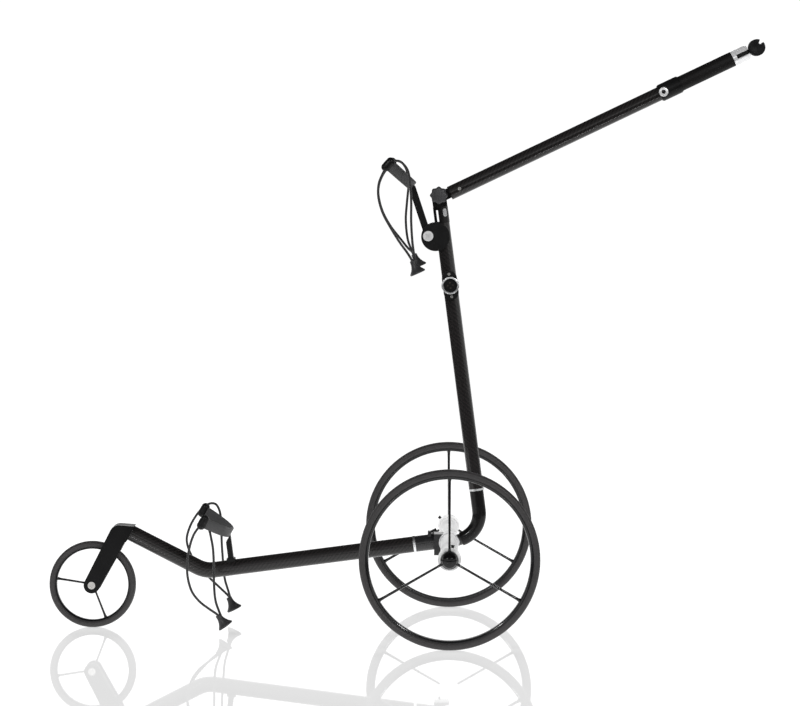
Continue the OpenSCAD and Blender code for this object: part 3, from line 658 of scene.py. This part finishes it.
def spoke_mesh(work, place, angle, start, end, thin, thick, wide):
    """Adds one tapered blade with flared roots to a mesh."""
    out = Vector((math.cos(angle), math.sin(angle), 0))
    across = Vector((-math.sin(angle), math.cos(angle), 0))
    stations = 26
    sides = 16
    rings = []
    for i in range(stations):
        t = i / (stations - 1)
        t = t - math.sin(2 * math.pi * t) / (2 * math.pi) * 0.75
        s = start + (end - start) * t
        flare = 3.2 * math.exp(-(s - start) / 2.6) + 3.0 * math.exp(-(end - s) / 2.6)
        t_here = thin + (thick - thin) * t + flare
        w_here = wide + 0.5 * flare
        ring = []
        for k in range(sides):
            a = 2 * math.pi * k / sides
            c = math.copysign(abs(math.cos(a)) ** 0.8, math.cos(a))
            d = math.copysign(abs(math.sin(a)) ** 0.8, math.sin(a))
            local = s * out + t_here / 2 * c * across + Vector((0, 0, w_here / 2 * d))
            ring.append(work.verts.new(place @ (local * MM)))
        rings.append(ring)
    for a, b in zip(rings, rings[1:]):
        for k in range(sides):
            work.faces.new((a[k], a[(k + 1) % sides], b[(k + 1) % sides], b[k]))
    work.faces.new(rings[0][::-1])
    work.faces.new(rings[-1])


def add_spokes(rim, place, angles, start, end, thin, thick, wide):
    """Adds the spokes to a rim's mesh."""
    work = bmesh.new()
    work.from_mesh(rim.data)
    for angle in angles:
        spoke_mesh(work, place, math.radians(angle), start, end, thin, thick, wide)
    bmesh.ops.recalc_face_normals(work, faces=work.faces)
    work.to_mesh(rim.data)
    work.free()
    rim.data.shade_smooth()
    rim.data.set_sharp_from_angle(angle=math.radians(38))


def join_into(target, *others):
    """Moves the meshes of others into target."""
    work = bmesh.new()
    work.from_mesh(target.data)
    for other in others:
        work.from_mesh(other.data)
        bpy.data.objects.remove(other)
    work.to_mesh(target.data)
    work.free()


def hub_ring_profile(inner, outer, inboard, outboard):
    """Section of the black ring that the spokes grow from, between two places along the axle."""
    return [
        (inner, inboard + 0.4), (inner + 0.4, inboard), (outer - 1.0, inboard),
        (outer - 0.3, inboard + 0.3), (outer, inboard + 1.0), (outer, outboard - 1.0),
        (outer - 0.3, outboard - 0.3), (outer - 1.0, outboard), (inner + 0.4, outboard),
        (inner, outboard - 0.4),
    ]


def make_wheel(name, place, outer, rim_out, rim_in, tyre_half, hub, angles, body, blade):
    """Tyre and spoked rim of one wheel. Radii are in mm, and angles are those of its spokes."""
    tread = lathe(name + "_tread", tyre_profile(rim_out, outer, tyre_half), place, 192, ring=True)
    stand_in(tread, TYRE, "tyre_rubber", body, name + "_tyre")
    section = rim_profile(rim_in, rim_out, blade["rim_half"])
    spoked = lathe(name + "_wheel_rim", section, place, 192, ring=True)
    bore, reach, start, end = hub
    boss = lathe(name + "_centre", hub_ring_profile(bore, reach, -end, -start), place, 96, ring=True)
    join_into(spoked, boss)
    add_spokes(spoked, place, angles, reach - 0.8, rim_in + 0.8,
               blade["thin"], blade["thick"], blade["wide"])
    stand_in(spoked, RIM, "rim_composite", body, name + "_rim")


TYRE_HALF = 10.5
# Bore and outer radius of a hub's black ring, and where it starts and ends along the axle
REAR_HUB = (10.04, 15, -11.5, 8.4)
FRONT_HUB = (8.0, 11, -12.5, 12.5)
# A spoke's thickness at its two ends and its width along the axle, and half the rim's width
REAR_BLADE = {"thin": 3.9, "thick": 4.8, "wide": 9.0, "rim_half": 7.1}
FRONT_BLADE = {"thin": 3.2, "thick": 3.9, "wide": 8.0, "rim_half": 6.6}
near_place = frame_at(AXLE - Vector((0, TRACK / 2, 0)), (0, -1, 0), (1, 0, 0))
far_place = frame_at(AXLE + Vector((0, TRACK / 2, 0)), (0, 1, 0), (-1, 0, 0))
front_place = frame_at(FRONT_AXLE, (0, -1, 0), (1, 0, 0))
for side, place in (("near", near_place), ("far", far_place)):
    make_wheel(side, place, 150, 139, 133.5, TYRE_HALF, REAR_HUB, (90, 210, 330),
               side + "_wheel", REAR_BLADE)
make_wheel("front", front_place, 75, 65, 61.5, TYRE_HALF, FRONT_HUB, (51, 171, 291),
           "front_wheel", FRONT_BLADE)


def cap_profile():
    """Section of a ball-shaped hub cap with a fine parting groove."""
    profile = [(0.01, 9), (6.9, 9), (6.9, 11.5), (13.3, 11.5), (13.7, 11.9)]
    for i in range(25):
        a = math.radians(8 + 82 * i / 24)
        groove = 0.2 if i in (1, 2) else 0
        profile.append(((13.8 - groove) * math.cos(a) + 0.01, 10.5 + (13.8 - groove) * math.sin(a)))
    return profile


for side, place in (("near", near_place), ("far", far_place)):
    cap = lathe(side + "_ball_cap", cap_profile(), place, 96)
    stand_in(cap, CAP, "gloss_cap", side + "_wheel", side + "_cap")

# ---------------------------------------------------------------- knobs and rings

across_near = frame_at(PIVOT, (0, -1, 0), (1, 0, 0))


def star(angle, radius):
    """Eight shallow lobes on the knob's rim."""
    return radius * (1 + 0.07 * math.cos(8 * angle)) if radius > 10 else radius


star_profile = [
    (0.01, 25.0), (5, 24.95), (9, 24.6), (11.6, 24.0), (13.2, 22.9), (14.1, 21.4), (14.4, 19.8),
    (14.4, 17.0), (14.0, 15.6), (13.0, 15.0), (9.0, 15.0), (8.8, 12.4), (4.0, 12.4), (4.0, -17.5),
    (0.01, -17.5),
]
star_top = lathe("star_knob_head", star_profile, across_near, 160, star)
stand_in(star_top, KNOB, "knob_plastic", "star_knob", "star_knob")

KNOB_S = 0.601
BOSS_S = 0.424
SOCKET_S = 0.431
knob_centre = HANDLE_ORIGIN + KNOB_S * HANDLE_DIR
knob_place = frame_at(knob_centre, (0, -1, 0), (1, 0, 0))
NOTCH = math.radians(56)


def knurled(angle, radius):
    """Fine grip ridges and the pointer notch of the speed knob."""
    if radius < 7.6:
        return radius
    ridge = radius * (1 + 0.012 * math.cos(36 * angle)) if radius > 13 else radius
    offset = (angle - NOTCH + math.pi) % (2 * math.pi) - math.pi
    inside = abs(offset) < 1 and abs(radius * math.sin(offset)) < 3.5
    return 7.6 if inside else ridge


half_disc = [(3.05, 4.4), (12.6, 4.4), (13.9, 4.9), (14.3, 5.9), (14.3, 10.6), (13.8, 11.5), (12.6, 12.0),
             (8.5, 12.0), (7.9, 11.6), (0.01, 11.5)]
dial_profile = [(r, -h) for r, h in reversed(half_disc)] + half_disc
dial = lathe("speed_dial", dial_profile, knob_place, 240, knurled)
stand_in(dial, DIAL_PLASTIC, "knob_plastic", "speed_knob", "speed_knob")

boss_place = frame_at(HANDLE_ORIGIN + BOSS_S * HANDLE_DIR, (0, -1, 0), HANDLE_DIR)
boss_profile = [(3.5, 12.3), (3.5, 19.1), (3.9, 19.5), (6.9, 19.5), (7.6, 19.1), (8.0, 18.4), (8.0, 12.3)]
boss_ring = lathe("handle_boss_ring", boss_profile, boss_place, 72, ring=True)
stand_in(boss_ring, BRIGHT_BOLT, "silver_alloy", "handle", "accessory_boss")

socket_place = frame_at(ELBOW + SOCKET_S * UP, (0, -1, 0), direction(UP_ANGLE - 90))
lip_profile = [(12.0, 14.7), (12.0, 20.1), (12.4, 20.5), (14.2, 20.5), (14.8, 20.2), (15.0, 19.6),
               (15.0, 18.0), (13.4, 18.0), (13.4, 14.7)]
lip_ring = lathe("power_socket_ring", lip_profile, socket_place, 96, ring=True)
stand_in(lip_ring, SILVER, "silver_alloy", "rear_frame", "socket_ring")

# ---------------------------------------------------------------- bag cradles

CRADLE_R = 125.0
BAND_T = 5.0
CRADLE_HALF = math.degrees(math.asin(100 / CRADLE_R))
BAND_HALF = CRADLE_HALF - math.degrees(4 / (CRADLE_R + BAND_T / 2))


def cradle_frame(base, opening, turn):
    """Cradle's local frame: X along its opening, Y across the trolley, turned about its strut."""
    about = Matrix.Rotation(math.radians(turn), 3, "Z")
    return frame_at(base, about @ direction(opening + 90), about @ direction(opening))


BAND_SECTION = [
    (0.0, -6.6), (0.3, -7.9), (1.0, -8.7), (2.1, -9.0), (3.4, -8.9), (4.4, -8.3), (5.0, -7.2),
    (5.0, 7.2), (4.4, 8.3), (3.4, 8.9), (2.1, 9.0), (1.0, 8.7), (0.3, 7.9), (0.0, 6.6),
    (0.35, 5.4), (0.35, 4.2), (0.0, 3.2), (0.35, 2.1), (0.35, 0.9), (0.0, 0.0),
    (0.35, -0.9), (0.35, -2.1), (0.0, -3.2), (0.35, -4.2), (0.35, -5.4),
]


def make_band(name, place):
    """Curved cradle band with rounded edges and ribs along its inner face."""
    steps = 72
    columns = len(BAND_SECTION)
    points = []
    for i in range(steps + 1):
        a = math.radians(180 - BAND_HALF + 2 * BAND_HALF * i / steps)
        for depth, height in BAND_SECTION:
            r = CRADLE_R + depth
            local = Vector((CRADLE_R + r * math.cos(a), r * math.sin(a), height))
            points.append(place @ (local * MM))
    faces = grid_faces(steps + 1, columns)
    faces.append(list(range(columns))[::-1])
    faces.append([steps * columns + k for k in range(columns)])
    piece = new_mesh(name, points, faces)
    face_outward(piece)
    return piece


def capsule_profile():
    """Section of a cradle tip: round ends and a shallow groove at each end of its straight part."""
    profile = []
    for i in range(13):
        a = math.radians(-90 + 90 * i / 12)
        profile.append((7.5 * math.cos(a) + 0.01, -6 + 7.5 * math.sin(a)))
    waist = [(7.1, -5.6), (7.1, -4.8), (7.5, -4.4)]
    profile += waist
    return profile + [(r, -h) for r, h in reversed(profile)]


def make_tips(name, place):
    """Pair of tips at the ends of a band."""
    made = []
    for side in (-1, 1):
        a = math.radians(180 + side * CRADLE_HALF)
        r = CRADLE_R + BAND_T / 2
        end = Vector((CRADLE_R + r * math.cos(a), r * math.sin(a), 0))
        onward = side * 3.5 * Vector((-math.sin(a), math.cos(a), 0))
        centre = place @ ((end + onward) * MM)
        turned = frame_at(centre, place.to_3x3() @ Vector((0, 0, 1)), place.to_3x3() @ Vector((1, 0, 0)))
        made.append(lathe(name, capsule_profile(), turned, 64))
    join_into(made[0], made[1])
    return made[0]


for level, place, body in (
    ("upper", cradle_frame(UPPER_BASE, 138, 0), "upper_cradle"),
    ("lower", cradle_frame(LOWER_BASE, 150, 3.5), "front_frame"),
):
    band = make_band(level + "_cradle_band", place)
    stand_in(band, CRADLE, "cradle_plastic", body, level + "_saddle")
    ends = make_tips(level + "_cradle_tips", place)
    stand_in(ends, BLACK_PLASTIC, "black_plastic", body, level + "_tips")

# ---------------------------------------------------------------- CAD nodes that stay

FINISHES = {
    "axle_tube": AXLE_SILVER, "drive_motors": MOTOR, "gearboxes": SILVER, "shaft_bearings": STEEL,
    "axle_clamp": KNUCKLE, "upper_ring": SILVER, "motor_cable": CABLE,
    "socket_flange": BLACK_PLASTIC, "socket_insert": BLACK_PLASTIC, "socket_contacts": CONTACT_PAINTED_SHADE,
    "socket_screws": STEEL, "cradle_bracket": BLACK_PLASTIC, "cradle_bolt": BRIGHT_BOLT,
    "hinge_fork": BLACK_ALLOY, "hinge_insert": SILVER, "hinge_nut": STEEL,
    "handle_tongue": BLACK_ALLOY, "handle_rivet": STEEL, "handle_sleeve": BLACK_PLASTIC,
    "handle_end": CHROME, "knob_arm": BLACK_PLASTIC, "upper_strut": BLACK_PLASTIC,
    "lower_strut": BLACK_PLASTIC, "front_knuckle": KNUCKLE, "lower_ring": SILVER,
    "fork": FORK_BLACK, "front_axle_bolt": STEEL, "fold_latch": BLACK_PLASTIC,
    "front_bearings": STEEL, "near_hub": AXLE_SILVER, "far_hub": AXLE_SILVER, "near_pin": BLACK_PLASTIC,
    "far_pin": BLACK_PLASTIC,
}
for name, material in FINISHES.items():
    dress(nodes[name], material)

# ---------------------------------------------------------------- floor, light and backdrop


FLOOR_HALF = 30.0
FLOOR_GLOSS = 0.4


def empty_material(name):
    """Material with no nodes but its output; gives the material, its tree and the output."""
    material = bpy.data.materials.new(name)
    material.use_nodes = True
    tree = material.node_tree
    tree.nodes.clear()
    return material, tree, tree.nodes.new("ShaderNodeOutputMaterial")


def make_floor():
    """Pale glossy table top."""
    e = FLOOR_HALF
    floor = new_mesh("floor", [(-e, -e, 0), (e, -e, 0), (e, e, 0), (-e, e, 0)], [[0, 1, 2, 3]])
    material, tree, output = empty_material("pale_floor")
    mixed = tree.nodes.new("ShaderNodeMixShader")
    fresnel = tree.nodes.new("ShaderNodeFresnel")
    most = tree.nodes.new("ShaderNodeMath")
    most.operation = "MINIMUM"
    most.inputs[1].default_value = FLOOR_GLOSS
    base = tree.nodes.new("ShaderNodeAddShader")
    matt = tree.nodes.new("ShaderNodeBsdfDiffuse")
    matt.inputs["Color"].default_value = (0.3, 0.3, 0.3, 1)
    glow = tree.nodes.new("ShaderNodeEmission")
    glow.inputs["Color"].default_value = (1, 1, 1, 1)
    glow.inputs["Strength"].default_value = 0.95
    gloss = tree.nodes.new("ShaderNodeBsdfGlossy")
    gloss.inputs["Color"].default_value = (1, 1, 1, 1)
    gloss.inputs["Roughness"].default_value = 0.02
    tree.links.new(fresnel.outputs[0], most.inputs[0])
    tree.links.new(most.outputs[0], mixed.inputs[0])
    tree.links.new(matt.outputs[0], base.inputs[0])
    tree.links.new(glow.outputs[0], base.inputs[1])
    tree.links.new(base.outputs[0], mixed.inputs[1])
    tree.links.new(gloss.outputs[0], mixed.inputs[2])
    tree.links.new(mixed.outputs[0], output.inputs["Surface"])
    dress(floor, material)


CEILING = (0.05, 0.05, 0.05, 1)
HORIZON = (1, 1, 1, 1)
# Height of a direction above the horizon, as a sine, and the backdrop's colour there
FAR_SIDE = ((0.16, HORIZON), (0.42, CEILING))
OTHER_SIDES = ((0.045, CEILING), (0.06, HORIZON), (0.16, HORIZON), (0.42, CEILING))
FAR_SIDE_STARTS = 0.35


def backdrop_ramp(tree, height, stops):
    """Backdrop's colour by height above the horizon."""
    ramp = tree.nodes.new("ShaderNodeValToRGB")
    elements = ramp.color_ramp.elements
    while len(elements) < len(stops):
        elements.new(0.5)
    for element, (position, colour) in zip(elements, stops):
        element.position = position
        element.color = colour
    tree.links.new(height, ramp.inputs[0])
    return ramp.outputs[0]


def make_backdrop():
    """White on the far side, a dark ceiling, and dark low down on the other sides."""
    world = bpy.data.worlds.new("studio")
    world.use_nodes = True
    bpy.context.scene.world = world
    tree = world.node_tree
    where = tree.nodes.new("ShaderNodeTexCoord")
    parts = tree.nodes.new("ShaderNodeSeparateXYZ")
    tree.links.new(where.outputs["Generated"], parts.inputs[0])
    other_side = tree.nodes.new("ShaderNodeMath")
    other_side.operation = "LESS_THAN"
    other_side.inputs[1].default_value = FAR_SIDE_STARTS
    tree.links.new(parts.outputs["Y"], other_side.inputs[0])
    mixed = tree.nodes.new("ShaderNodeMix")
    mixed.data_type = "RGBA"
    tree.links.new(other_side.outputs[0], mixed.inputs["Factor"])
    tree.links.new(backdrop_ramp(tree, parts.outputs["Z"], FAR_SIDE), mixed.inputs[6])
    tree.links.new(backdrop_ramp(tree, parts.outputs["Z"], OTHER_SIDES), mixed.inputs[7])
    background = tree.nodes["Background"]
    tree.links.new(mixed.outputs[2], background.inputs["Color"])
    background.inputs["Strength"].default_value = 1.05


def softbox(name, place, aim, size, power, shows=True):
    """Large rectangular light, which shows in glossy surfaces or only lights them."""
    data = bpy.data.lights.new(name, "AREA")
    data.shape = "RECTANGLE"
    data.size, data.size_y = size
    data.energy = power
    light = bpy.data.objects.new(name, data)
    light.location = place
    facing = Vector(aim) - Vector(place)
    light.rotation_euler = facing.to_track_quat("-Z", "Y").to_euler()
    light.visible_glossy = shows
    bpy.context.scene.collection.objects.link(light)


def dark_cloth():
    """Black cloth seen from above, and nothing at all from below."""
    material, tree, output = empty_material("dark_cloth")
    mixed = tree.nodes.new("ShaderNodeMixShader")
    face = tree.nodes.new("ShaderNodeNewGeometry")
    cloth = tree.nodes.new("ShaderNodeBsdfDiffuse")
    cloth.inputs["Color"].default_value = (0.03, 0.03, 0.03, 1)
    clear = tree.nodes.new("ShaderNodeBsdfTransparent")
    tree.links.new(face.outputs["Backfacing"], mixed.inputs[0])
    tree.links.new(cloth.outputs[0], mixed.inputs[1])
    tree.links.new(clear.outputs[0], mixed.inputs[2])
    tree.links.new(mixed.outputs[0], output.inputs["Surface"])
    return material


FLAG_REACH = 29
FLAG_Z = 0.004
NEAR_EDGE = -1.05
DARK_CLOTH = dark_cloth()


def flag(name, corners):
    """Dark studio card just above the floor, which only the object's gloss sees."""
    card = new_mesh(name, [(x, y, FLAG_Z) for x, y in corners], [[0, 1, 2, 3]])
    dress(card, DARK_CLOTH)
    card.visible_camera = False
    card.visible_shadow = False


make_floor()
make_backdrop()
e = FLAG_REACH
flag("low_flag", [(-e, -e), (e, -e), (e, NEAR_EDGE), (-e, NEAR_EDGE)])
flag("left_flag", [(-e, NEAR_EDGE), (-1.2, NEAR_EDGE), (-5, e), (-e, e)])
flag("right_flag", [(1.2, NEAR_EDGE), (e, NEAR_EDGE), (e, e), (5, e)])
softbox("back_top", (0, 2.4, 3.0), (0, 0, 0.3), (4.0, 1.4), 110, False)
softbox("front_left", (-3.2, -3.6, 2.4), (0, 0, 0.5), (0.9, 2.2), 80, False)
softbox("front_right", (3.4, -3.2, 1.8), (0, 0, 0.5), (1.8, 2.2), 60, False)
softbox("spark_left", (-2.2, -3.4, 2.6), (0, 0, 0.3), (0.4, 0.4), 40)
softbox("spark_right", (2.2, -3.4, 2.6), (0, 0, 0.3), (0.4, 0.4), 40)
bpy.context.scene.view_settings.view_transform = "Standard"
